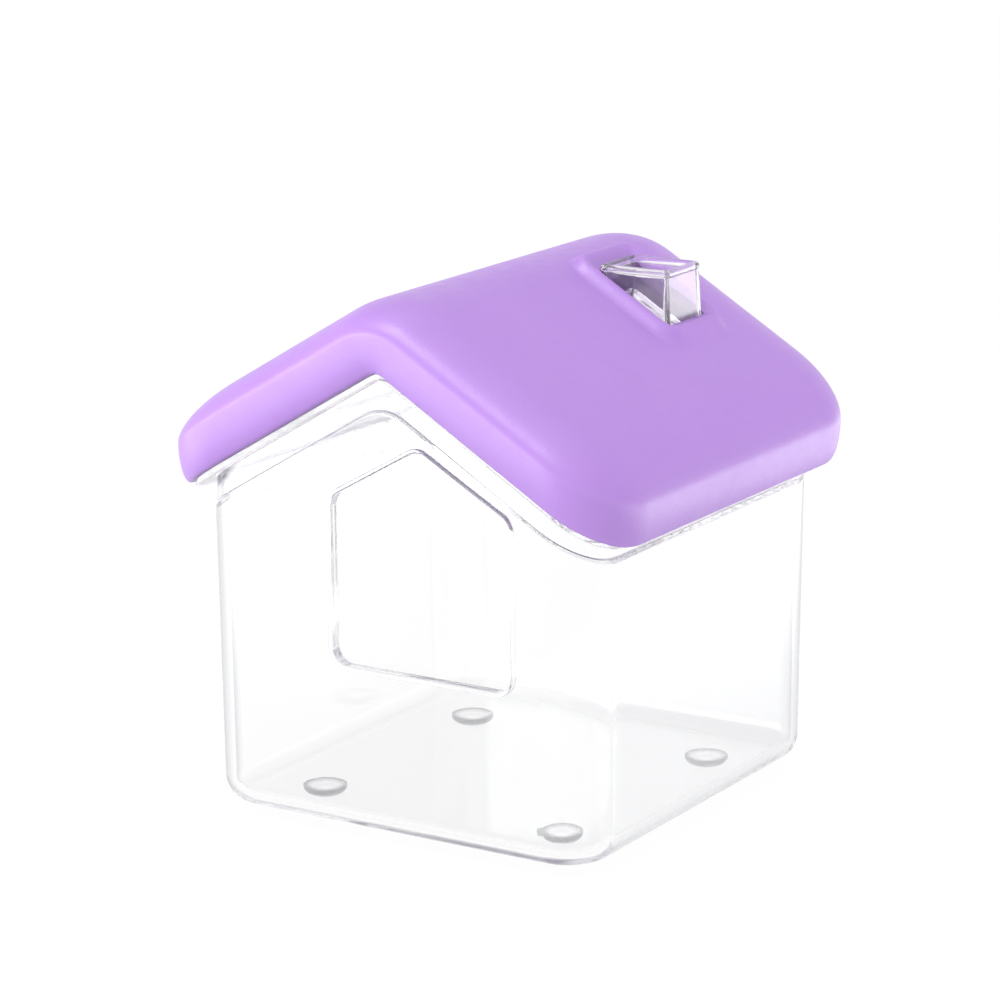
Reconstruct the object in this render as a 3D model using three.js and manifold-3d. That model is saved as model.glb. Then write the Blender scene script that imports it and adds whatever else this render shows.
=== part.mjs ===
// A clear house-shaped box on four round pads, with a lift-off gable roof and a chimney vent.
// Millimetres, +Z up. The gable end with the doorway faces -Y and the eaves run along Y.
// The origin is on the surface that the pads stand on, under the middle of the box.

import * as THREE from 'three';
import { mergeVertices } from 'three/addons/utils/BufferGeometryUtils.js';
import Module from 'manifold-3d';

const wasm = await Module();
wasm.setup();

// Fit between pieces, and how far a cutter runs past what it cuts
const GAP = 0.3;
const CUT_CLEAR = 1;

// Foot pads
const PAD_RADIUS = 5;
const PAD_HEIGHT = 2;
const PAD_EDGE = 0.7;
const PAD_INSET = 31;

// Box
const BOX_WIDTH = 100;
const BOX_DEPTH = 104;
const BOX_WALL = 2.4;
const BOX_FLOOR = 2.6;
const BOX_CORNER = 12;
const BOX_FOOT = 6;
const BOX_DRAFT = 0.008;
const BOX_BOTTOM = PAD_HEIGHT + GAP;

// Gable: how much a roof line falls for each millimetre away from the ridge.
// Every gable height below is that of the sharp ridge line, measured from the box's underside.
const GABLE_FALL = 0.596;
const GABLE_ANGLE = Math.atan(GABLE_FALL);
const RIM_HEIGHT = 103.1;
const LINER_PLATE = 1.4;
const LINER_BOTTOM = RIM_HEIGHT + GAP;
const LINER_TOP = LINER_BOTTOM + LINER_PLATE;
const COVER_BOTTOM = LINER_TOP + GAP;
const COVER_RISE = 17.3;
const COVER_TOP = COVER_BOTTOM + COVER_RISE;
const SHARP_RIDGE = 3.5;
const SOFT_RIDGE = 20;

// Roof cover
const COVER_HALF_WIDTH = 56;
const COVER_HALF_DEPTH = 55.2;
const COVER_CORNER = 13.6;
const COVER_WALL = 2;
const COVER_BULGE = 2.6;
const COVER_BULGE_HEIGHT = 10;
const COVER_SHOULDER = 15.6;

// Roof liner: a plate just inside the cover's lower edge, and a skirt that drops over the box's
// thinned rim, all but flush with the box's walls
const LINER_INSET = 1;
const SKIRT_HEIGHT = 6;
const SKIRT_WALL = 0.9;
const SKIRT_SIDE_PROUD = 0.2;
const SKIRT_END_PROUD = 0.4;
const SKIRT_HALF_WIDTH = BOX_WIDTH / 2 + SKIRT_SIDE_PROUD;
const SKIRT_HALF_DEPTH = BOX_DEPTH / 2 + SKIRT_END_PROUD;
const SKIRT_BOTTOM = LINER_BOTTOM - SKIRT_HEIGHT;
const SKIRT_RIDGE = 10;

// Doorway in the front gable
const DOOR_CENTRE = 9;
const DOOR_HALF_WIDTH = 22.8;
const DOOR_SILL = 38.2;
const DOOR_APEX = 88.4;
const DOOR_FALL = 0.566;
const DOOR_CORNER = 4;
const LIP_WIDTH = 1.1;
const LIP_PROUD = 0.5;

// Chimney
const CHIMNEY_X = 20.5;
const CHIMNEY_Y = 24.5;
const CHIMNEY_RIM_HALF_WIDTH = 9;
const CHIMNEY_RIM_HALF_DEPTH = 7.5;
const CHIMNEY_TOP = 117.5;
const CHIMNEY_WALL = 1.5;
const CHIMNEY_CORNER = 1.2;
const CHIMNEY_DRAFT = 0.06;
const COLLAR_START = 1;
const COLLAR_RISE = 2;
const COLLAR_REACH = 5.5;

// Fineness of curves
const CORNER_STEPS = 6;
const ROUND_STEPS = 5;
const RIDGE_STEPS = 6;
const PAD_STEPS = 48;

// ---------------------------------------------------------------- gable and loft helpers

// Fall of a gable line from its sharp ridge, with the ridge rounded to a radius.
function gableFall(x, ridgeRadius) {
  const away = Math.abs(x);
  if (away >= ridgeRadius * Math.sin(GABLE_ANGLE)) return GABLE_FALL * away;
  return ridgeRadius / Math.cos(GABLE_ANGLE) - Math.sqrt(ridgeRadius ** 2 - away ** 2);
}

// Front half of a rounded rectangle in plan, from left to right.
function frontHalf({ halfX, halfY, corner }, ridgeStations) {
  const points = [];
  for (let step = 0; step <= CORNER_STEPS; step++) {
    const turn = (step / CORNER_STEPS) * (Math.PI / 2);
    points.push([-halfX + corner * (1 - Math.cos(turn)), -halfY + corner * (1 - Math.sin(turn))]);
  }
  for (const x of ridgeStations) points.push([x, -halfY]);
  const mirrored = points.slice(0, CORNER_STEPS + 1).map(([x, y]) => [-x, y]).reverse();
  return points.concat(mirrored);
}

// A closed solid through a stack of rounded rectangles. Each level has halfX, halfY, corner and z,
// and a ridge radius where the level follows the gable instead of lying flat.
function loft(levels, centreX = 0, centreY = 0) {
  const bent = levels.some((level) => level.ridge !== undefined);
  const crossesRidge = bent && centreX === 0;
  const reach = SOFT_RIDGE * Math.sin(GABLE_ANGLE);
  const stations = crossesRidge
    ? Array.from({ length: RIDGE_STEPS + 1 }, (_, i) => reach * ((2 * i) / RIDGE_STEPS - 1))
    : [];
  const positions = [];
  const triangles = [];
  for (const level of levels) {
    const front = frontHalf(level, stations);
    const back = front.map(([x, y]) => [x, -y]).reverse();
    for (const [x, y] of [...front, ...back]) {
      const fall = level.ridge === undefined ? 0 : gableFall(centreX + x, level.ridge);
      positions.push(centreX + x, centreY + y, level.z - fall);
    }
  }
  const around = positions.length / 3 / levels.length;
  const across = around / 2;
  for (let k = 0; k < levels.length - 1; k++) {
    for (let i = 0; i < around; i++) {
      const a = k * around + i;
      const b = k * around + ((i + 1) % around);
      triangles.push(a, b, b + around, a, b + around, a + around);
    }
  }
  const top = (levels.length - 1) * around;
  for (let i = 0; i < across - 1; i++) {
    const [a, b, c, d] = [i, i + 1, around - 2 - i, around - 1 - i];
    triangles.push(a, c, b, a, d, c);
    triangles.push(top + a, top + b, top + c, top + a, top + c, top + d);
  }
  const geometry = new THREE.BufferGeometry();
  geometry.setAttribute('position', new THREE.Float32BufferAttribute(positions, 3));
  geometry.setIndex(triangles);
  return geometry;
}

// ---------------------------------------------------------------- solid helpers

function toSolid(geometry) {
  geometry.deleteAttribute('normal');
  geometry.deleteAttribute('uv');
  const merged = mergeVertices(geometry);
  const vertProperties = new Float32Array(merged.attributes.position.array);
  const triVerts = new Uint32Array(merged.index.array);
  return new wasm.Manifold(new wasm.Mesh({ numProp: 3, vertProperties, triVerts }));
}

function toGeometry(solid) {
  const mesh = solid.getMesh();
  const geometry = new THREE.BufferGeometry();
  geometry.setAttribute('position', new THREE.BufferAttribute(new Float32Array(mesh.vertProperties), 3));
  geometry.setIndex(new THREE.BufferAttribute(new Uint32Array(mesh.triVerts), 1));
  geometry.computeVertexNormals();
  return geometry;
}

// A shape drawn in X and Z, run along Y from `from` to `to`.
function alongY(shape, from, to) {
  const geometry = new THREE.ExtrudeGeometry(shape, {
    depth: to - from,
    bevelEnabled: false,
    curveSegments: ROUND_STEPS,
  });
  geometry.rotateX(Math.PI / 2);
  geometry.translate(0, to, 0);
  return toSolid(geometry);
}

// A polygon with every corner rounded to its own radius.
function roundedPolygon(corners) {
  const shape = new THREE.Shape();
  corners.forEach(({ x, y, radius }, i) => {
    const here = new THREE.Vector2(x, y);
    const before = corners[(i + corners.length - 1) % corners.length];
    const after = corners[(i + 1) % corners.length];
    const back = new THREE.Vector2(before.x, before.y).sub(here).normalize();
    const ahead = new THREE.Vector2(after.x, after.y).sub(here).normalize();
    const halfAngle = Math.acos(back.dot(ahead)) / 2;
    const run = radius / Math.tan(halfAngle);
    const start = here.clone().addScaledVector(back, run);
    const middle = back.add(ahead).normalize();
    const centre = here.clone().addScaledVector(middle, radius / Math.sin(halfAngle));
    const end = here.clone().addScaledVector(ahead, run);
    const from = Math.atan2(start.y - centre.y, start.x - centre.x);
    const to = Math.atan2(end.y - centre.y, end.x - centre.x);
    if (i === 0) shape.moveTo(start.x, start.y);
    else shape.lineTo(start.x, start.y);
    shape.absarc(centre.x, centre.y, radius, from, to, false);
  });
  shape.closePath();
  return shape;
}

// ---------------------------------------------------------------- box

// Levels of a box-shaped body whose bottom edge is rounded and whose walls lean out slightly.
function boxLevels(inset, bottom, top) {
  const foot = BOX_FOOT - inset;
  const levels = [];
  for (let step = 0; step <= ROUND_STEPS; step++) {
    const turn = (step / ROUND_STEPS) * (Math.PI / 2);
    levels.push({ draw: foot * (1 - Math.sin(turn)), z: bottom + foot * (1 - Math.cos(turn)) });
  }
  levels.push({ draw: -BOX_DRAFT * (top - bottom - foot), z: top });
  return levels.map(({ draw, z }) => ({
    halfX: BOX_WIDTH / 2 - inset - draw,
    halfY: BOX_DEPTH / 2 - inset - draw,
    corner: BOX_CORNER - inset - draw,
    z,
  }));
}

// Everything above a gable line, as a cutter.
function aboveGable(height, ridge = SHARP_RIDGE) {
  const reach = BOX_WIDTH;
  const ceiling = height + reach;
  const shape = new THREE.Shape();
  shape.moveTo(-reach, height - gableFall(reach, ridge));
  const half = ridge * Math.sin(GABLE_ANGLE);
  for (let step = 0; step <= RIDGE_STEPS; step++) {
    const x = half * ((2 * step) / RIDGE_STEPS - 1);
    shape.lineTo(x, height - gableFall(x, ridge));
  }
  shape.lineTo(reach, height - gableFall(reach, ridge));
  shape.lineTo(reach, ceiling);
  shape.lineTo(-reach, ceiling);
  shape.closePath();
  return alongY(shape, -reach, reach);
}

// Five-sided outline of the doorway, grown evenly by a margin.
function doorOutline(grow) {
  const radius = DOOR_CORNER + grow;
  const half = DOOR_HALF_WIDTH + grow;
  const apex = BOX_BOTTOM + DOOR_APEX + grow * Math.sqrt(1 + DOOR_FALL ** 2);
  const sill = BOX_BOTTOM + DOOR_SILL - grow;
  const shoulder = apex - DOOR_FALL * half;
  return roundedPolygon([
    { x: DOOR_CENTRE - half, y: sill, radius },
    { x: DOOR_CENTRE + half, y: sill, radius },
    { x: DOOR_CENTRE + half, y: shoulder, radius },
    { x: DOOR_CENTRE, y: apex, radius },
    { x: DOOR_CENTRE - half, y: shoulder, radius },
  ]);
}

// A slab that follows the gable between two heights.
function gableSlab(halfX, halfY, corner, low, high, lowRidge = SHARP_RIDGE) {
  return toSolid(loft([
    { halfX, halfY, corner, z: BOX_BOTTOM + low, ridge: lowRidge },
    { halfX, halfY, corner, z: BOX_BOTTOM + high, ridge: SHARP_RIDGE },
  ]));
}

// A slab with the skirt's outline, drawn in by `inset`.
function skirtSlab(inset, low, high) {
  const corner = BOX_CORNER - inset;
  return gableSlab(SKIRT_HALF_WIDTH - inset, SKIRT_HALF_DEPTH - inset, corner, low, high, SKIRT_RIDGE);
}

// What is cut from the outside of the rim so that the skirt drops over it.
function rimStep() {
  const above = aboveGable(BOX_BOTTOM + SKIRT_BOTTOM - GAP, SKIRT_RIDGE);
  const rim = skirtSlab(SKIRT_WALL + GAP, SKIRT_BOTTOM - SKIRT_HEIGHT, LINER_TOP);
  return above.subtract(rim);
}

function makeBox() {
  const top = BOX_BOTTOM + RIM_HEIGHT + GAP;
  const outside = toSolid(loft(boxLevels(0, BOX_BOTTOM, top)));
  const inside = toSolid(loft(boxLevels(BOX_WALL, BOX_BOTTOM + BOX_FLOOR, top + GAP)));
  const front = -BOX_DEPTH / 2;
  const lipFace = front - BOX_DRAFT * DOOR_APEX - LIP_PROUD;
  const lip = alongY(doorOutline(LIP_WIDTH), lipFace, front + BOX_WALL / 2);
  const doorway = alongY(doorOutline(0), front - BOX_WALL * 2, front + BOX_WALL * 2);
  const gableCut = aboveGable(BOX_BOTTOM + RIM_HEIGHT);
  const walls = outside.subtract(inside).subtract(rimStep());
  return toGeometry(walls.add(lip).subtract(doorway).subtract(gableCut));
}

// ---------------------------------------------------------------- foot pad

function makePad() {
  const profile = [
    new THREE.Vector2(0, 0),
    new THREE.Vector2(PAD_RADIUS - PAD_EDGE, 0),
    new THREE.Vector2(PAD_RADIUS, PAD_EDGE),
    new THREE.Vector2(PAD_RADIUS, PAD_HEIGHT),
    new THREE.Vector2(0, PAD_HEIGHT),
  ];
  const geometry = new THREE.LatheGeometry(profile, PAD_STEPS);
  geometry.rotateX(Math.PI / 2);
  return toGeometry(toSolid(geometry));
}

// ---------------------------------------------------------------- chimney

// Levels of the chimney's tapered shaft, offset outward from its outer face by `grow`.
function shaftLevels(grow, bottom, top) {
  const corner = Math.max(CHIMNEY_CORNER + grow, GAP);
  return [bottom, top].map((z) => {
    const spread = grow + CHIMNEY_DRAFT * (CHIMNEY_TOP - z);
    return {
      halfX: CHIMNEY_RIM_HALF_WIDTH + spread,
      halfY: CHIMNEY_RIM_HALF_DEPTH + spread,
      corner,
      z: BOX_BOTTOM + z,
    };
  });
}

const shaft = (grow, bottom, top) => toSolid(loft(shaftLevels(grow, bottom, top), CHIMNEY_X, CHIMNEY_Y));

// Heights well below the plate and above the rim, where cutters of the shaft end
const LOW_CUT = LINER_BOTTOM - GABLE_FALL * COVER_HALF_WIDTH;
const HIGH_CUT = CHIMNEY_TOP + CHIMNEY_WALL;

function makeChimney() {
  const outside = shaft(0, LOW_CUT, CHIMNEY_TOP);
  const bore = shaft(-CHIMNEY_WALL, LOW_CUT - CUT_CLEAR, HIGH_CUT);
  const standing = aboveGable(BOX_BOTTOM + COVER_BOTTOM);
  return toGeometry(outside.subtract(bore).intersect(standing));
}

// ---------------------------------------------------------------- roof liner

function makeLiner() {
  const halfX = COVER_HALF_WIDTH - LINER_INSET;
  const halfY = COVER_HALF_DEPTH - LINER_INSET;
  const plate = gableSlab(halfX, halfY, COVER_CORNER - LINER_INSET, LINER_BOTTOM, LINER_TOP);
  const skirt = skirtSlab(0, SKIRT_BOTTOM, LINER_BOTTOM + LINER_PLATE / 2);
  const inner = skirtSlab(SKIRT_WALL, SKIRT_BOTTOM - CUT_CLEAR, LINER_BOTTOM);
  const vent = shaft(-CHIMNEY_WALL, LOW_CUT, HIGH_CUT);
  return toGeometry(plate.add(skirt.subtract(inner)).subtract(vent));
}

// ---------------------------------------------------------------- roof cover

// Levels of the pillow-shaped cover: upright bulging edge, then a soft shoulder to the top.
function coverLevels(inset, bottom) {
  const levels = [];
  const rise = COVER_RISE - inset - COVER_BULGE_HEIGHT;
  for (const part of [0, 0.5, 1]) {
    const height = THREE.MathUtils.lerp(bottom, COVER_BOTTOM + COVER_BULGE_HEIGHT, part);
    levels.push({ out: COVER_BULGE * Math.sin((part * Math.PI) / 2) - inset, z: height });
  }
  const steps = ROUND_STEPS + 2;
  for (let step = 1; step <= steps; step++) {
    const turn = (step / steps) * (Math.PI / 2);
    levels.push({
      out: COVER_BULGE - inset - COVER_SHOULDER * (1 - Math.cos(turn)),
      z: COVER_BOTTOM + COVER_BULGE_HEIGHT + rise * Math.sin(turn),
    });
  }
  return levels.map(({ out, z }) => ({
    halfX: COVER_HALF_WIDTH + out,
    halfY: COVER_HALF_DEPTH + out,
    corner: Math.max(COVER_CORNER + out, COVER_WALL),
    z: BOX_BOTTOM + z,
    ridge: THREE.MathUtils.lerp(SHARP_RIDGE, SOFT_RIDGE, (z - COVER_BOTTOM) / COVER_RISE),
  }));
}

// Raised soft ring round the chimney: shares of its reach outwards and of its rise upwards.
const COLLAR_PROFILE = [[1, -0.5], [0.8, 0.25], [0.45, 0.85], [0.25, 1]];

function makeCollar() {
  const levels = COLLAR_PROFILE.map(([outShare, riseShare]) => {
    const out = COLLAR_START + COLLAR_REACH * outShare;
    return {
      halfX: CHIMNEY_RIM_HALF_WIDTH + out,
      halfY: CHIMNEY_RIM_HALF_DEPTH + out,
      corner: out,
      z: BOX_BOTTOM + COVER_TOP + COLLAR_RISE * riseShare,
      ridge: SOFT_RIDGE,
    };
  });
  return toSolid(loft(levels, CHIMNEY_X, CHIMNEY_Y));
}

function makeCover() {
  const outside = toSolid(loft(coverLevels(0, COVER_BOTTOM)));
  const inside = toSolid(loft(coverLevels(COVER_WALL, COVER_BOTTOM - CUT_CLEAR)));
  const hole = shaft(GAP, LOW_CUT, HIGH_CUT + COLLAR_RISE);
  return toGeometry(outside.subtract(inside).add(makeCollar()).subtract(hole));
}

// ---------------------------------------------------------------- assembly

const plastic = (color, roughness) => new THREE.MeshStandardMaterial({ color, roughness, metalness: 0 });
const clearPlastic = plastic(0xf4f6f8, 0.06);
const purplePlastic = plastic(0xc396e7, 0.45);
const padPlastic = plastic(0xe6e8ea, 0.15);

function named(name, geometry, material) {
  const mesh = new THREE.Mesh(geometry, material);
  mesh.name = name;
  return mesh;
}

const house = new THREE.Group();

const base = new THREE.Group();
base.add(named('box', makeBox(), clearPlastic));
for (const [side, x] of [['left', -PAD_INSET], ['right', PAD_INSET]]) {
  for (const [end, y] of [['front', -PAD_INSET], ['back', PAD_INSET]]) {
    const pad = named(`foot_${end}_${side}`, makePad(), padPlastic);
    pad.position.set(x, y, 0);
    base.add(pad);
  }
}
house.add(base);

const roof = new THREE.Group();
roof.add(named('roof_liner', makeLiner(), clearPlastic));
roof.add(named('chimney', makeChimney(), clearPlastic));
roof.add(named('roof_cover', makeCover(), purplePlastic));
house.add(roof);

export default house;
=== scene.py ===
"""Looks for the clear house-shaped box with a lift-off purple gable roof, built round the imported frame."""

import math

import bmesh
import bpy
import numpy as np
from mathutils import Matrix, Vector


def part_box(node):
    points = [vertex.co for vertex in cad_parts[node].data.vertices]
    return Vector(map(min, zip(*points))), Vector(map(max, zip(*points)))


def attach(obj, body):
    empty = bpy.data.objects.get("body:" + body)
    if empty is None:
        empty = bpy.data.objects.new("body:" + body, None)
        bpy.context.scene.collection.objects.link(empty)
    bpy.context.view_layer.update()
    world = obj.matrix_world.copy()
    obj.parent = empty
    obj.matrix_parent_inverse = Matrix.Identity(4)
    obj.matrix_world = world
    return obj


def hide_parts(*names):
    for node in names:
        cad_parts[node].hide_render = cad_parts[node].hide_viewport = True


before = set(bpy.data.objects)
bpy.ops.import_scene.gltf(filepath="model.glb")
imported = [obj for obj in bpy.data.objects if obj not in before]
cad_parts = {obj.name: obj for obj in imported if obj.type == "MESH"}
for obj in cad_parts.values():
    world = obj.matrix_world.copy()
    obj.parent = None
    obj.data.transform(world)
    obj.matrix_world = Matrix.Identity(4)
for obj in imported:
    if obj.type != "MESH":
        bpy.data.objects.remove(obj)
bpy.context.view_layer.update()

MM = 0.001

# ---------------------------------------------------------------- sizes, from the frame

box_low, box_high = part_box("box")
pad_low, pad_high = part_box("foot_front_right")
liner_low, liner_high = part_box("roof_liner")
cover_low, cover_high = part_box("roof_cover")
chimney_low, chimney_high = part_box("chimney")

GABLE_FALL = 0.596
GABLE_ANGLE = math.atan(GABLE_FALL)
SHARP_RIDGE = 3.5 * MM
SOFT_RIDGE = 20 * MM
SKIRT_RIDGE = 10 * MM

UNDERSIDE = box_low[2]
DRAFT = 0.008
RIM_HEIGHT = 103.1 * MM
BOX_HALF_WIDTH = 50 * MM
BOX_HALF_DEPTH = 52 * MM
BOX_WALL = 2.4 * MM
BOX_FLOOR = 2.6 * MM
BOX_CORNER = 12 * MM
BOX_FOOT = 6 * MM
EDGE_ROUND = 0.35 * MM
TONGUE_ROUND = EDGE_ROUND * 0.8

DOOR_CENTRE = 9 * MM
DOOR_HALF_WIDTH = 22.8 * MM
DOOR_SILL = 38.2 * MM
DOOR_APEX = 88.4 * MM
DOOR_FALL = 0.566
DOOR_CORNER = 4 * MM
LIP_WIDTH = 1.1 * MM
LIP_ROUND = LIP_WIDTH * 0.45

LINER_PLATE = 1.4 * MM
GAP = 0.3 * MM
LINER_INSET = 1 * MM
LINER_EDGE = 0.25 * MM
SKIRT_HEIGHT = 6 * MM
SKIRT_WALL = 0.9 * MM
SKIRT_SIDE_PROUD = 0.2 * MM
SKIRT_END_PROUD = 0.4 * MM
SKIRT_HALF_WIDTH = BOX_HALF_WIDTH + SKIRT_SIDE_PROUD
SKIRT_HALF_DEPTH = BOX_HALF_DEPTH + SKIRT_END_PROUD

COVER_CORNER = 13.6 * MM
COVER_BULGE = 2.6 * MM
COVER_BULGE_HEIGHT = 10 * MM
COVER_BULGE_POWER = 0.9
COVER_HEIGHT = 17.3 * MM
COVER_SHOULDER = 15.6 * MM
COVER_WALL = 2 * MM
COVER_LEAST_CORNER = 1 * MM
COVER_EDGE_DROP = 0.15 * MM
COVER_EDGE_SHARES = (0.2, 0.8)

PAD_FLAT = 1.4 * MM
PAD_RIM = 0.3 * MM
PAD_GLUE = 0.02 * MM

CHIMNEY_WALL = 1.5 * MM
CHIMNEY_RIM = 2 * MM
RIM_PROUD = 0.25 * MM
RIM_BLEND = 0.3 * MM
RIM_WRAP = 0.3 * math.pi
SHAFT_OVERRUN = 15 * MM
CHIMNEY_DRAFT = 0.06
CHIMNEY_CORNER = 1.2 * MM
COLLAR_RISE = 2.5 * MM
COLLAR_CREST = 3 * MM
COLLAR_REACH = 6.5 * MM
COLLAR_MOAT = 0.4


# Fineness of the meshes, and the shares of their size at which inner rings fill a face
LEAST_CORNER = 0.05 * MM
MERGE_DISTANCE = 0.002 * MM
SIDE_CROWDING = 1.6
CORNER_STEPS = 14
SIDE_STEPS = 36
COVER_SIDE_STEPS = 84
COVER_TOP_RINGS = 90
BULGE_STEPS = 13
SHOULDER_STEPS = 21
FOOT_STEPS = 13
DOOR_ROUND_STEPS = 7
PAD_POINTS = 64
PAD_STEPS = 14
RIM_STEPS = 17
SKIRT_TIP_STEPS = 9
LINER_FILL = np.linspace(0.96, 0.04, 24)
COVER_UNDER_FILL = np.linspace(0.97, 0.03, 24)

liner_bottom = RIM_HEIGHT + GAP
liner_top = liner_bottom + LINER_PLATE
skirt_bottom = liner_bottom - SKIRT_HEIGHT
cover_bottom = liner_top + GAP
cover_half_x = cover_high[0] - COVER_BULGE
cover_half_y = cover_high[1] - COVER_BULGE
chimney_x = (chimney_low[0] + chimney_high[0]) / 2
chimney_y = (chimney_low[1] + chimney_high[1]) / 2
chimney_top = chimney_high[2] - UNDERSIDE
chimney_foot = chimney_low[2] - UNDERSIDE
chimney_spread = CHIMNEY_DRAFT * (chimney_top - chimney_foot)
chimney_half_width = (chimney_high[0] - chimney_low[0]) / 2 - chimney_spread
chimney_half_depth = (chimney_high[1] - chimney_low[1]) / 2 - chimney_spread


# ---------------------------------------------------------------- outlines and skins

def gable_fall(x, ridge):
    """How far a gable line lies below its sharp ridge at x, with the ridge rounded to a radius."""
    away = np.abs(x)
    inside = np.clip(ridge ** 2 - away ** 2, 0, None)
    rounded = ridge / math.cos(GABLE_ANGLE) - np.sqrt(inside)
    return np.where(away < ridge * math.sin(GABLE_ANGLE), rounded, GABLE_FALL * away)


def rounded_rectangle(half_x, half_y, corner, side_steps=SIDE_STEPS):
    """Plan outline, anticlockwise, with side points that crowd towards the middle of each side."""
    turn = np.linspace(0, math.pi / 2, CORNER_STEPS + 1)
    run = np.linspace(-1, 1, side_steps + 1)[1:-1]
    crowd = np.sign(run) * np.abs(run) ** SIDE_CROWDING
    points = []
    for quarter in range(4):
        straight_x, straight_y = half_x - corner, half_y - corner
        along = straight_x if quarter % 2 == 0 else straight_y
        reach = half_y if quarter % 2 == 0 else half_x
        side = np.stack([crowd * along, np.full_like(crowd, -reach)], axis=1)
        bend = np.stack([along + corner * np.sin(turn), -reach + corner * (1 - np.cos(turn))], axis=1)
        angle = quarter * math.pi / 2
        spin = np.array([[math.cos(angle), math.sin(angle)], [-math.sin(angle), math.cos(angle)]])
        points.append(np.concatenate([side, bend]) @ spin)
    return np.concatenate(points)


def flat_ring(half_x, half_y, corner, z, centre=(0, 0)):
    plan = rounded_rectangle(half_x, half_y, max(corner, LEAST_CORNER))
    return np.column_stack([plan + np.array(centre), np.full(len(plan), UNDERSIDE + z)])


def gable_ring(half_x, half_y, corner, height, ridge=SHARP_RIDGE, centre=(0, 0)):
    """A rounded rectangle that follows the gable, its sharp ridge at the given height."""
    ring = flat_ring(half_x, half_y, corner, height, centre)
    ring[:, 2] -= gable_fall(ring[:, 0], ridge)
    return ring


def skin(name, rings, closed=False):
    """A closed mesh through rings of equal length. A ring of one point closes an end as a fan."""
    mesh = bpy.data.meshes.new(name)
    build = bmesh.new()
    loops = [[build.verts.new(point) for point in ring] for ring in rings]
    pairs = list(zip(loops, loops[1:]))
    if closed:
        pairs.append((loops[-1], loops[0]))
    for lower, upper in pairs:
        count = max(len(lower), len(upper))
        for i in range(count):
            j = (i + 1) % count
            corners = [lower[i % len(lower)], lower[j % len(lower)]]
            corners += [upper[j % len(upper)], upper[i % len(upper)]]
            build.faces.new(list(dict.fromkeys(corners)))
    bmesh.ops.recalc_face_normals(build, faces=build.faces)
    build.to_mesh(mesh)
    build.free()
    piece = bpy.data.objects.new(name, mesh)
    bpy.context.scene.collection.objects.link(piece)
    return piece


def cut_or_join(piece, tool, operation):
    """Applies a boolean of `tool` to `piece` and removes the tool."""
    modifier = piece.modifiers.new("boolean", "BOOLEAN")
    modifier.operation = operation
    modifier.solver = "EXACT"
    modifier.object = tool
    apply_modifiers(piece)
    bpy.data.objects.remove(tool)


def apply_modifiers(piece):
    evaluated = piece.evaluated_get(bpy.context.evaluated_depsgraph_get())
    mesh = bpy.data.meshes.new_from_object(evaluated)
    piece.modifiers.clear()
    piece.data = mesh


def finish_surface(piece, sharp_degrees=38):
    """Smooth shading that keeps flat walls flat and crisp edges crisp."""
    build = bmesh.new()
    build.from_mesh(piece.data)
    bmesh.ops.remove_doubles(build, verts=build.verts, dist=MERGE_DISTANCE)
    bmesh.ops.dissolve_degenerate(build, edges=build.edges, dist=MERGE_DISTANCE / 2)
    build.to_mesh(piece.data)
    build.free()
    piece.data.polygons.foreach_set("use_smooth", [True] * len(piece.data.polygons))
    piece.data.set_sharp_from_angle(angle=math.radians(sharp_degrees))
    weighted = piece.modifiers.new("weighted normals", "WEIGHTED_NORMAL")
    weighted.keep_sharp = True


def quarter_round(radius, steps=6):
    """Pairs of inset and rise round an outer edge, from upright to level."""
    turns = np.linspace(0, math.pi / 2, steps)
    return [(radius * (1 - math.cos(turn)), radius * math.sin(turn)) for turn in turns]


# ---------------------------------------------------------------- box

def box_rings():
    """Rings of the box from the middle of its underside, up and over the rim, down to the floor."""
    def foot_rings(inset, bottom):
        foot = BOX_FOOT - inset
        rings = []
        for turn in np.linspace(0, math.pi / 2, FOOT_STEPS):
            draw = inset + foot * (1 - math.sin(turn))
            sizes = (BOX_HALF_WIDTH - draw, BOX_HALF_DEPTH - draw, BOX_CORNER - draw)
            rings.append(flat_ring(*sizes, bottom + foot * (1 - math.cos(turn))))
        return rings

    outside = [[(0, 0, UNDERSIDE)]] + foot_rings(0, 0)
    step = skirt_bottom - GAP
    lean = DRAFT * (step - BOX_FOOT)
    outer = (BOX_HALF_WIDTH + lean, BOX_HALF_DEPTH + lean, BOX_CORNER + lean)
    inner = [size - BOX_WALL for size in outer]
    drawn = SKIRT_WALL + GAP
    tongue = (SKIRT_HALF_WIDTH - drawn, SKIRT_HALF_DEPTH - drawn, BOX_CORNER - drawn)
    ledge = [gable_ring(*[size - inset for size in outer], step - EDGE_ROUND + rise, SKIRT_RIDGE)
             for inset, rise in quarter_round(EDGE_ROUND)]
    ledge.append(gable_ring(*tongue, step, SKIRT_RIDGE))
    tip = RIM_HEIGHT - TONGUE_ROUND
    rim = [gable_ring(*[size - inset for size in tongue], tip + rise)
           for inset, rise in quarter_round(TONGUE_ROUND)]
    rim += [gable_ring(*[size + inset for size in inner], tip + rise)
            for inset, rise in quarter_round(TONGUE_ROUND)[::-1]]
    inside = foot_rings(BOX_WALL, BOX_FLOOR)[::-1] + [[(0, 0, UNDERSIDE + BOX_FLOOR)]]
    return outside + ledge + rim + inside


def rounded_polygon(corners, radius, steps=10):
    """Points of a polygon in anticlockwise order with each corner rounded to one radius."""
    points = []
    for i, corner in enumerate(corners):
        here = Vector(corner)
        back = (Vector(corners[i - 1]) - here).normalized()
        ahead = (Vector(corners[(i + 1) % len(corners)]) - here).normalized()
        half = back.angle(ahead) / 2
        centre = here + (back + ahead).normalized() * (radius / math.sin(half))
        start = here + back * (radius / math.tan(half)) - centre
        sweep = math.pi - 2 * half
        for step in range(steps + 1):
            turn = sweep * step / steps
            spin = Matrix.Rotation(turn, 2)
            points.append(centre + spin @ start)
    return points


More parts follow.
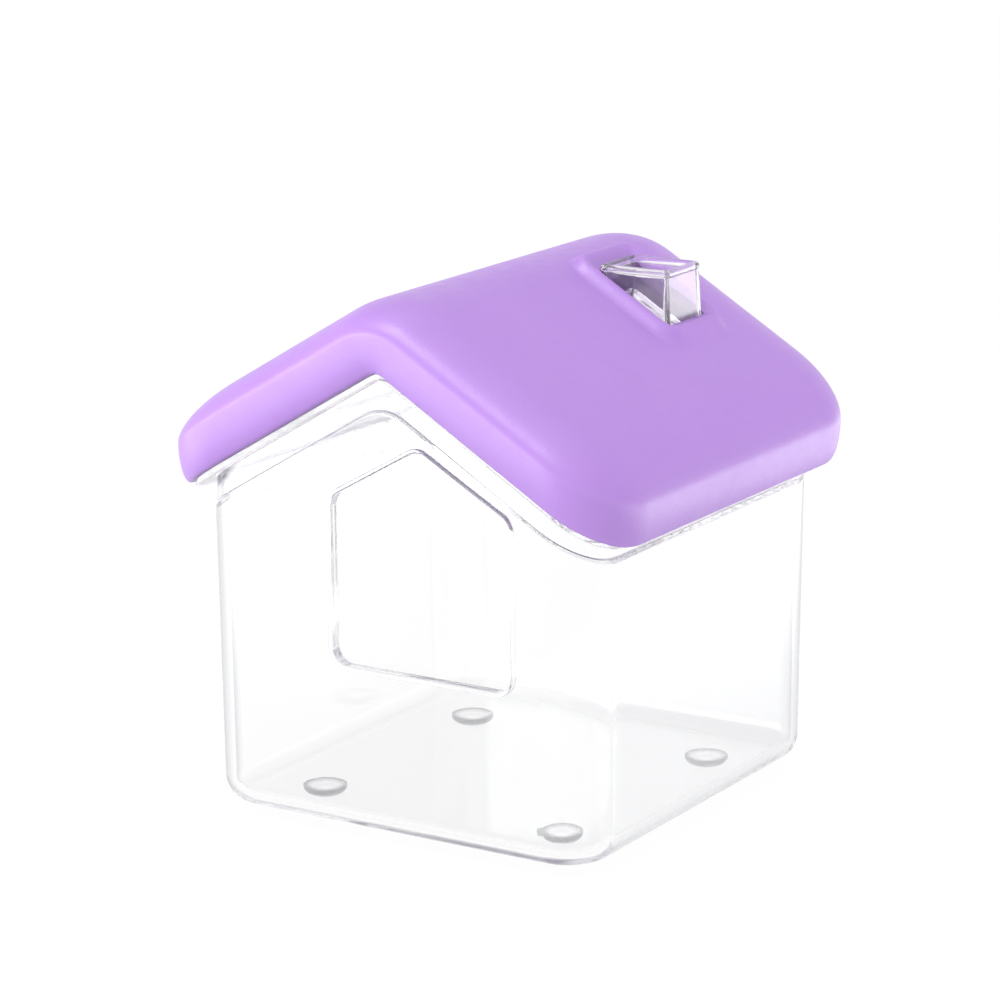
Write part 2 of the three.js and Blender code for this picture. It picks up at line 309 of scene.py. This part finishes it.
def door_ring(grow, y):
    """Five-sided outline of the doorway at depth y, grown evenly."""
    half = DOOR_HALF_WIDTH + grow
    apex = DOOR_APEX + grow * math.hypot(1, DOOR_FALL)
    sill = DOOR_SILL - grow
    shoulder = apex - DOOR_FALL * half
    corners = [(-half, sill), (half, sill), (half, shoulder), (0, apex), (-half, shoulder)]
    outline = rounded_polygon(corners, DOOR_CORNER + grow)
    return [(DOOR_CENTRE + x, y, UNDERSIDE + z) for x, z in outline]


def door_tools():
    """The raised lip to join to the front wall, and the cutter for the doorway with rounded edges."""
    half_way = (DOOR_SILL + DOOR_APEX) / 2
    middle = UNDERSIDE + half_way
    face = -BOX_HALF_DEPTH - DRAFT * half_way
    inner = face + BOX_WALL
    deep = face + BOX_WALL / 2
    lip_face = box_low[1]
    before, after = lip_face - BOX_WALL, inner + BOX_WALL
    turns = np.linspace(0, math.pi / 2, DOOR_ROUND_STEPS)
    bends = [(1 - math.sin(turn), 1 - math.cos(turn)) for turn in turns]
    lip_rings = [[(DOOR_CENTRE, lip_face, middle)]]
    lip_rings += [door_ring(LIP_WIDTH - LIP_ROUND * a, lip_face + LIP_ROUND * b) for a, b in bends]
    lip_rings += [door_ring(LIP_WIDTH, deep), [(DOOR_CENTRE, deep, middle)]]
    doorway_rings = [[(DOOR_CENTRE, before, middle)], door_ring(LIP_ROUND, before)]
    doorway_rings += [door_ring(LIP_ROUND * a, lip_face + LIP_ROUND * b) for a, b in bends]
    doorway_rings += [door_ring(EDGE_ROUND * b, inner - EDGE_ROUND * a) for a, b in bends]
    doorway_rings += [door_ring(EDGE_ROUND, after), [(DOOR_CENTRE, after, middle)]]
    return skin("lip", lip_rings), skin("doorway", doorway_rings)


def make_box():
    piece = skin("clear_box", box_rings())
    lip, doorway = door_tools()
    cut_or_join(piece, lip, "UNION")
    cut_or_join(piece, doorway, "DIFFERENCE")
    finish_surface(piece)
    return piece


# ---------------------------------------------------------------- foot pads

def make_pad(node):
    """A clear domed bumper: its flat side is stuck to the floor, and a small flat is where it rests."""
    low, high = (Vector(corner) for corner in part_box(node))
    centre, radius = (low + high) / 2, (high.x - low.x) / 2
    top = UNDERSIDE - PAD_GLUE
    rim = top - PAD_RIM
    angles = np.linspace(0, 2 * math.pi, PAD_POINTS, endpoint=False)

    def pad_ring(reach, z):
        return [(centre.x + reach * math.cos(a), centre.y + reach * math.sin(a), z) for a in angles]

    rings = [[(centre.x, centre.y, low.z)]]
    for turn in np.linspace(0, math.pi / 2, PAD_STEPS):
        reach = PAD_FLAT + (radius - PAD_FLAT) * math.sin(turn)
        rings.append(pad_ring(reach, low.z + (rim - low.z) * (1 - math.cos(turn))))
    rings += [pad_ring(radius, top), [(centre.x, centre.y, top)]]
    piece = skin(node.replace("foot", "pad"), rings)
    finish_surface(piece)
    return piece


# ---------------------------------------------------------------- chimney and its shaft

def shaft_ring(grow, height, slope_height=None):
    """Ring of the tapered chimney shaft, level, or cut along the roof slope."""
    spread = grow + CHIMNEY_DRAFT * (chimney_top - height)
    sizes = (chimney_half_width + spread, chimney_half_depth + spread, CHIMNEY_CORNER + grow)
    centre = (chimney_x, chimney_y)
    if slope_height is None:
        return flat_ring(*sizes, height, centre)
    return gable_ring(*sizes, slope_height, centre=centre)


def make_shaft_cutter(grow):
    """The shaft, offset outwards by `grow` and run on past both of its ends."""
    low, high = chimney_foot - SHAFT_OVERRUN, chimney_top + SHAFT_OVERRUN
    ends = [[(chimney_x, chimney_y, UNDERSIDE + z)] for z in (low, high)]
    return skin("shaft", [ends[0], shaft_ring(grow, low), shaft_ring(grow, high), ends[1]])


def make_chimney():
    """Square tube with a thick rounded rim and a foot cut to the slope."""
    neck = chimney_top - CHIMNEY_RIM - RIM_BLEND
    foot = cover_bottom - GABLE_FALL * chimney_x
    half = (CHIMNEY_WALL + RIM_PROUD) / 2
    middle = RIM_PROUD - half
    rings = [shaft_ring(0, foot, cover_bottom), shaft_ring(0, neck)]
    for turn in np.linspace(-RIM_WRAP, math.pi + RIM_WRAP, RIM_STEPS):
        height = chimney_top - half + half * math.sin(turn)
        rings.append(shaft_ring(middle + half * math.cos(turn), height))
    rings += [shaft_ring(-CHIMNEY_WALL, neck), shaft_ring(-CHIMNEY_WALL, foot, cover_bottom)]
    piece = skin("clear_chimney", rings, closed=True)
    finish_surface(piece)
    return piece


# ---------------------------------------------------------------- roof liner

def make_liner():
    """Clear gable plate with a crisp edge and a skirt over the box's rim, holed under the chimney."""
    half_x, half_y = cover_half_x - LINER_INSET, cover_half_y - LINER_INSET
    corner = COVER_CORNER - LINER_INSET
    edge = LINER_EDGE

    def plate_ring(inset, height):
        return gable_ring(half_x - inset, half_y - inset, corner - inset, height)

    def skirt_ring(inset, height, ridge=SHARP_RIDGE):
        sizes = (SKIRT_HALF_WIDTH - inset, SKIRT_HALF_DEPTH - inset, BOX_CORNER - inset)
        return gable_ring(*sizes, height, ridge)

    def to_middle(ring, height):
        """Rings that close a gable-shaped face towards the middle of the ridge."""
        rings = []
        for share in LINER_FILL:
            plan = ring[:, :2] * share
            z = UNDERSIDE + height - gable_fall(plan[:, 0], SHARP_RIDGE)
            rings.append(np.column_stack([plan, z]))
        tip = UNDERSIDE + height - float(gable_fall(np.array(0.0), SHARP_RIDGE))
        return rings + [[(0, 0, tip)]]

    above = to_middle(plate_ring(edge, liner_top), liner_top)[::-1]
    rim = [plate_ring(inset, liner_top - edge + rise) for inset, rise in quarter_round(edge)[::-1]]
    rim += [plate_ring(inset, liner_bottom + edge - rise) for inset, rise in quarter_round(edge)]
    root = [skirt_ring(-edge, liner_bottom), skirt_ring(0, liner_bottom - edge)]
    half = SKIRT_WALL / 2
    tip = []
    for turn in np.linspace(0, math.pi, SKIRT_TIP_STEPS):
        height = skirt_bottom + half * (1 - math.sin(turn))
        tip.append(skirt_ring(half * (1 - math.cos(turn)), height, SKIRT_RIDGE))
    inner_root = [skirt_ring(SKIRT_WALL, liner_bottom - edge)]
    inner_root.append(skirt_ring(SKIRT_WALL + edge, liner_bottom))
    below = to_middle(inner_root[-1], liner_bottom)
    piece = skin("clear_liner", above + rim + root + tip + inner_root + below)
    cut_or_join(piece, make_shaft_cutter(-CHIMNEY_WALL), "DIFFERENCE")
    finish_surface(piece)
    return piece


# ---------------------------------------------------------------- roof cover

def cover_profile():
    """Edge profile from the lower edge outwards and up to the flat of the slope, as (out, height)."""
    lower = []
    for turn in np.linspace(0, math.pi / 2, BULGE_STEPS):
        height = COVER_BULGE_HEIGHT * (1 - math.cos(turn)) ** COVER_BULGE_POWER
        lower.append((COVER_BULGE * math.sin(turn), height))
    upper = []
    rise = COVER_HEIGHT - COVER_BULGE_HEIGHT
    for turn in np.linspace(0, math.pi / 2, SHOULDER_STEPS)[1:]:
        out = COVER_BULGE - COVER_SHOULDER * (1 - math.cos(turn))
        upper.append((out, COVER_BULGE_HEIGHT + rise * math.sin(turn)))
    return lower + upper


def cover_ring(out, height, share=1.0):
    """Ring of the cover, `out` and `height` from its lower edge, shrunk about the middle to `share`."""
    corner = max(COVER_CORNER + out, COVER_LEAST_CORNER)
    sizes = (cover_half_x + out, cover_half_y + out, corner)
    plan = rounded_rectangle(*sizes, side_steps=COVER_SIDE_STEPS) * share
    ridge = SHARP_RIDGE + (SOFT_RIDGE - SHARP_RIDGE) * height / COVER_HEIGHT
    z = UNDERSIDE + cover_bottom + height - gable_fall(plan[:, 0], ridge)
    return np.column_stack([plan, z])


def smooth_step(share):
    return share * share * (3 - 2 * share)


def collar_lift(points):
    """How far the soft collar round the chimney stands above the slope: a ring with a shallow moat."""
    dx = np.clip(np.abs(points[:, 0] - chimney_x) - chimney_half_width - GAP, 0, None)
    dy = np.clip(np.abs(points[:, 1] - chimney_y) - chimney_half_depth - GAP, 0, None)
    away = np.hypot(dx, dy)
    rise = np.clip(away / COLLAR_CREST, 0, 1)
    fall = np.clip((away - COLLAR_CREST) / (COLLAR_REACH - COLLAR_CREST), 0, 1)
    inside = COLLAR_MOAT + (1 - COLLAR_MOAT) * smooth_step(rise)
    return COLLAR_RISE * inside * (1 - smooth_step(fall))


def make_cover():
    """Soft-edged shell with a collar, a thin lower edge and a plain inside, holed for the shaft."""
    profile = cover_profile()
    edge = [cover_ring(out, height) for out, height in profile]
    top = [cover_ring(*profile[-1], share) for share in np.linspace(1, 0.02, COVER_TOP_RINGS)[1:]]
    for ring in top:
        ring[:, 2] += collar_lift(ring)
    peak = [(0, 0, top[-1][:, 2].max())]
    lip = [cover_ring(-share * COVER_WALL, -COVER_EDGE_DROP) for share in COVER_EDGE_SHARES]
    under_height = COVER_HEIGHT - COVER_WALL
    inside = []
    for out, height in profile[2:-2]:
        inside.append(cover_ring(out - COVER_WALL, height * under_height / COVER_HEIGHT))
    under_out = profile[-3][0] - COVER_WALL
    inside += [cover_ring(under_out, under_height, share) for share in COVER_UNDER_FILL]
    inner_peak = [(0, 0, inside[-1][:, 2].max())]
    piece = skin("purple_cover", [peak] + top[::-1] + edge[::-1] + lip + inside + [inner_peak])
    cut_or_join(piece, make_shaft_cutter(GAP), "DIFFERENCE")
    finish_surface(piece)
    return piece


# ---------------------------------------------------------------- node helpers

NOISE_LOW = 0.3
NOISE_HIGH = 0.7


def grey(shade):
    return (shade, shade, shade, 1)


def new_material(name):
    material = bpy.data.materials.new(name)
    material.use_nodes = True
    shader = material.node_tree.nodes["Principled BSDF"]
    return material, material.node_tree, shader


def coordinate(tree, kind):
    return tree.nodes.new("ShaderNodeTexCoord").outputs[kind]


def axis_part(tree, vector, axis):
    """One component of a vector."""
    split = tree.nodes.new("ShaderNodeSeparateXYZ")
    tree.links.new(vector, split.inputs["Vector"])
    return split.outputs[axis]


def multiply(tree, first, second):
    node = tree.nodes.new("ShaderNodeMath")
    node.operation = "MULTIPLY"
    tree.links.new(first, node.inputs[0])
    tree.links.new(second, node.inputs[1])
    return node.outputs["Value"]


def map_range(tree, value, span, target, smooth=False):
    """Maps a value from the span (low, high) to the target (low, high)."""
    remap = tree.nodes.new("ShaderNodeMapRange")
    remap.interpolation_type = "SMOOTHSTEP" if smooth else "LINEAR"
    remap.inputs["From Min"].default_value, remap.inputs["From Max"].default_value = span
    remap.inputs["To Min"].default_value, remap.inputs["To Max"].default_value = target
    tree.links.new(value, remap.inputs["Value"])
    return remap.outputs["Result"]


def colour_ramp(tree, value, stops):
    """A colour for a value, through (position, colour) stops in rising order."""
    ramp = tree.nodes.new("ShaderNodeValToRGB")
    elements = ramp.color_ramp.elements
    for element, (position, colour) in zip(elements, (stops[0], stops[-1])):
        element.position = position
        element.color = colour
    for position, colour in stops[1:-1]:
        elements.new(position).color = colour
    tree.links.new(value, ramp.inputs["Fac"])
    return ramp.outputs["Color"]


def noise(tree, scale, detail=2.0, roughness=0.5):
    """Noise in object space, one unit of scale per metre."""
    texture = tree.nodes.new("ShaderNodeTexNoise")
    texture.inputs["Scale"].default_value = scale
    texture.inputs["Detail"].default_value = detail
    texture.inputs["Roughness"].default_value = roughness
    tree.links.new(coordinate(tree, "Object"), texture.inputs["Vector"])
    return texture.outputs["Fac"]


def bump(tree, shader, layers):
    """Chains bump nodes, each (height value, strength, distance), into the shader's normal."""
    previous = None
    for height, strength, distance in layers:
        node = tree.nodes.new("ShaderNodeBump")
        node.inputs["Strength"].default_value = strength
        node.inputs["Distance"].default_value = distance
        tree.links.new(height, node.inputs["Height"])
        if previous is not None:
            tree.links.new(previous, node.inputs["Normal"])
        previous = node.outputs["Normal"]
    tree.links.new(previous, shader.inputs["Normal"])


# ---------------------------------------------------------------- materials

PURPLE_DEEP = (0.340, 0.170, 0.550, 1)
PURPLE_PALE = (0.370, 0.190, 0.580, 1)
CLEAR = (0.985, 0.986, 0.99, 1)
# Edge colours mixed into the clear plastics where surfaces turn away: painted shade.
CLEAR_EDGE_SHADE = (0.36, 0.37, 0.40, 1)
LINER_EDGE_SHADE = (0.84, 0.83, 0.88, 1)
CHIMNEY_CLEAR = (0.975, 0.95, 0.995, 1)
CHIMNEY_EDGE_SHADE = (0.95, 0.90, 0.99, 1)
PAD_CLEAR = (0.97, 0.97, 0.97, 1)
# Grey at the pads' rims: painted shade.
PAD_RIM_SHADE = (0.25, 0.25, 0.27, 1)


def purple_plastic():
    """Satin moulded plastic with a fine grain and faint mottling."""
    material, tree, shader = new_material("purple_satin")
    mottling = colour_ramp(tree, noise(tree, 60, 3), [(0, PURPLE_DEEP), (1, PURPLE_PALE)])
    satin = map_range(tree, noise(tree, 300, 4), (NOISE_LOW, NOISE_HIGH), (0.32, 0.42))
    tree.links.new(mottling, shader.inputs["Base Color"])
    tree.links.new(satin, shader.inputs["Roughness"])
    shader.inputs["Specular IOR Level"].default_value = 0.85
    waves, grain = noise(tree, 45, 1), noise(tree, 1800, 2, 0.6)
    bump(tree, shader, [(waves, 0.15, 0.3 * MM), (grain, 0.5, 0.12 * MM)])
    return material


def clear_plastic(name, rough, haze=0.0):
    """Polished clear plastic with a faint moulding ripple and a share of haze. Its colour comes after."""
    material, tree, shader = new_material(name)
    polish = map_range(tree, noise(tree, 80, 4), (NOISE_LOW, NOISE_HIGH), (rough * 0.6, rough * 1.4))
    tree.links.new(polish, shader.inputs["Roughness"])
    shader.inputs["Transmission Weight"].default_value = 1.0 - haze
    shader.inputs["IOR"].default_value = 1.49
    bump(tree, shader, [(noise(tree, 22, 1), 0.05, 0.2 * MM)])
    return material, tree, shader


def painted_edge_shade(tree, tint, edge_shade):
    """The plastic's tint with painted shade: mixed towards a darker edge colour where an upright surface
    turns away from the viewer, standing in for the grey bands that thick sections show.
    """
    turned = tree.nodes.new("ShaderNodeLayerWeight")
    turned.inputs["Blend"].default_value = 0.5
    turning = colour_ramp(tree, turned.outputs["Facing"], [(0.45, grey(0)), (0.85, grey(1))])
    surface = tree.nodes.new("ShaderNodeNewGeometry")
    up = axis_part(tree, surface.outputs["Normal"], "Z")
    upright = map_range(tree, multiply(tree, up, up), (0, 1), (1, 0))
    mix = tree.nodes.new("ShaderNodeMix")
    mix.data_type = "RGBA"
    mix.inputs["A"].default_value = tint
    mix.inputs["B"].default_value = edge_shade
    tree.links.new(multiply(tree, turning, upright), mix.inputs["Factor"])
    return mix.outputs["Result"]


def moulded_clear(name, tint, edge_shade, rough, haze=0.0):
    """Clear plastic with painted shade that darkens its edges where they turn away."""
    material, tree, shader = clear_plastic(name, rough, haze)
    tree.links.new(painted_edge_shade(tree, tint, edge_shade), shader.inputs["Base Color"])
    return material


def soft_pad_plastic():
    """Clear soft plastic with painted shade: grey round its rim, standing in for the dome bending away what
    lies behind it.
    """
    material, tree, shader = clear_plastic("soft_pad_plastic", 0.03)
    centred = tree.nodes.new("ShaderNodeVectorMath")
    centred.operation = "MULTIPLY_ADD"
    centred.inputs[1].default_value = (2, 2, 0)
    centred.inputs[2].default_value = (-1, -1, 0)
    away = tree.nodes.new("ShaderNodeVectorMath")
    away.operation = "LENGTH"
    tree.links.new(coordinate(tree, "Generated"), centred.inputs[0])
    tree.links.new(centred.outputs["Vector"], away.inputs[0])
    # Painted shade: the colour turns grey towards the pad's rim.
    ring = colour_ramp(tree, away.outputs["Value"], [(0.62, PAD_CLEAR), (0.97, PAD_RIM_SHADE)])
    tree.links.new(ring, shader.inputs["Base Color"])
    return material


# ---------------------------------------------------------------- pieces

def fit_out(piece, body, node, material):
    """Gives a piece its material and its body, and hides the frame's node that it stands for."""
    piece.data.materials.clear()
    piece.data.materials.append(material)
    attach(piece, body)
    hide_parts(node)


# The clear plastics carry painted edge shade from their edge colours.
box_plastic = moulded_clear("clear_box_plastic", CLEAR, CLEAR_EDGE_SHADE, 0.012)
liner_plastic = moulded_clear("clear_liner_plastic", CLEAR, LINER_EDGE_SHADE, 0.03)
chimney_plastic = moulded_clear("clear_chimney_plastic", CHIMNEY_CLEAR, CHIMNEY_EDGE_SHADE, 0.015, haze=0.03)
pad_plastic = soft_pad_plastic()

fit_out(make_box(), "base", "box", box_plastic)
for end in ("front", "back"):
    for side in ("left", "right"):
        foot = f"foot_{end}_{side}"
        fit_out(make_pad(foot), "base", foot, pad_plastic)
fit_out(make_liner(), "roof", "roof_liner", liner_plastic)
fit_out(make_chimney(), "roof", "chimney", chimney_plastic)
fit_out(make_cover(), "roof", "roof_cover", purple_plastic())


# ---------------------------------------------------------------- stage, light and camera

FLOOR_LIGHT = 0.97
FLOOR_LIGHT_FAR = 3.0
FLOOR_REACH = 12.0
ROOM_BACK = 1.35
ROOM_FRONT = 2.1
ROOM_SHADES = [(0.0, 0.68), (0.28, 0.68), (0.42, 0.5), (0.65, 0.5), (0.9, 0.9)]


def floor_light(tree):
    """The floor glows evenly, and more in the front left and back right quarters, beside the object."""
    place = coordinate(tree, "Object")
    quarter = multiply(tree, axis_part(tree, place, "X"), axis_part(tree, place, "Y"))
    return map_range(tree, quarter, (0.005, 0.04), (FLOOR_LIGHT, FLOOR_LIGHT_FAR), smooth=True)


def make_floor():
    """A wide pale floor that glows a little, so that it stays even."""
    mesh = bpy.data.meshes.new("floor")
    square = ((-1, -1), (1, -1), (1, 1), (-1, 1))
    mesh.from_pydata([(x * FLOOR_REACH, y * FLOOR_REACH, 0) for x, y in square], [], [(0, 1, 2, 3)])
    floor = bpy.data.objects.new("floor", mesh)
    bpy.context.scene.collection.objects.link(floor)
    material, tree, shader = new_material("pale_floor")
    shader.inputs["Base Color"].default_value = grey(0.04)
    shader.inputs["Roughness"].default_value = 0.9
    shader.inputs["Specular IOR Level"].default_value = 0.0
    shader.inputs["Emission Color"].default_value = grey(1)
    tree.links.new(floor_light(tree), shader.inputs["Emission Strength"])
    mesh.materials.append(material)


def make_world():
    """A pale studio room: bright ceiling and horizon, dimmer band between, brighter at the front."""
    world = bpy.data.worlds.new("pale_room")
    bpy.context.scene.world = world
    world.use_nodes = True
    tree = world.node_tree
    direction = coordinate(tree, "Generated")
    stops = [(height, grey(shade)) for height, shade in ROOM_SHADES]
    shade = colour_ramp(tree, axis_part(tree, direction, "Z"), stops)
    strength = map_range(tree, axis_part(tree, direction, "Y"), (0.3, -0.8), (ROOM_BACK, ROOM_FRONT))
    background = tree.nodes["Background"]
    tree.links.new(shade, background.inputs["Color"])
    tree.links.new(strength, background.inputs["Strength"])


def soft_light(name, place, aim, size, power):
    """A rectangular softbox at a place, turned to face its aim."""
    data = bpy.data.lights.new(name, "AREA")
    data.shape = "RECTANGLE"
    data.size, data.size_y = size
    data.energy = power
    lamp = bpy.data.objects.new(name, data)
    lamp.location = place
    lamp.rotation_euler = (Vector(aim) - Vector(place)).to_track_quat("-Z", "Y").to_euler()
    bpy.context.scene.collection.objects.link(lamp)


def make_lights():
    """An overhead softbox, a little to the front, and a low one from the front left."""
    middle = (0, 0, box_high[2])
    soft_light("top_softbox", place=(-0.05, -0.30, 0.9), aim=middle, size=(0.45, 0.35), power=2.5)
    soft_light("front_softbox", place=(-0.75, -1.0, 0.25), aim=middle, size=(0.8, 0.5), power=4)


CAMERA_AZIMUTH = math.radians(32.24)
CAMERA_ELEVATION = math.radians(14.1)
CAMERA_ROLL = math.radians(-0.4)
CAMERA_DISTANCE = 848.3 * MM
CAMERA_LENS = 135.3
CAMERA_SENSOR = 36
CAMERA_AIM = Vector((-3.9 * MM, 0, UNDERSIDE + 64.7 * MM))
LIGHT_BOUNCES = 160


def make_camera():
    """A long lens, looking slightly down at the front right corner."""
    back = Vector((
        math.sin(CAMERA_AZIMUTH) * math.cos(CAMERA_ELEVATION),
        -math.cos(CAMERA_AZIMUTH) * math.cos(CAMERA_ELEVATION),
        math.sin(CAMERA_ELEVATION),
    ))
    data = bpy.data.cameras.new("camera")
    data.lens = CAMERA_LENS
    data.sensor_width = CAMERA_SENSOR
    camera = bpy.data.objects.new("camera", data)
    camera.location = CAMERA_AIM + back * CAMERA_DISTANCE
    roll = Matrix.Rotation(CAMERA_ROLL, 3, "Z").to_quaternion()
    camera.rotation_euler = (back.to_track_quat("Z", "Y") @ roll).to_euler()
    bpy.context.scene.collection.objects.link(camera)
    bpy.context.scene.camera = camera


make_floor()
make_world()
make_lights()
make_camera()
scene = bpy.context.scene
scene.view_settings.view_transform = "Standard"
scene.cycles.max_bounces = LIGHT_BOUNCES
scene.cycles.transmission_bounces = LIGHT_BOUNCES
scene.cycles.glossy_bounces = LIGHT_BOUNCES
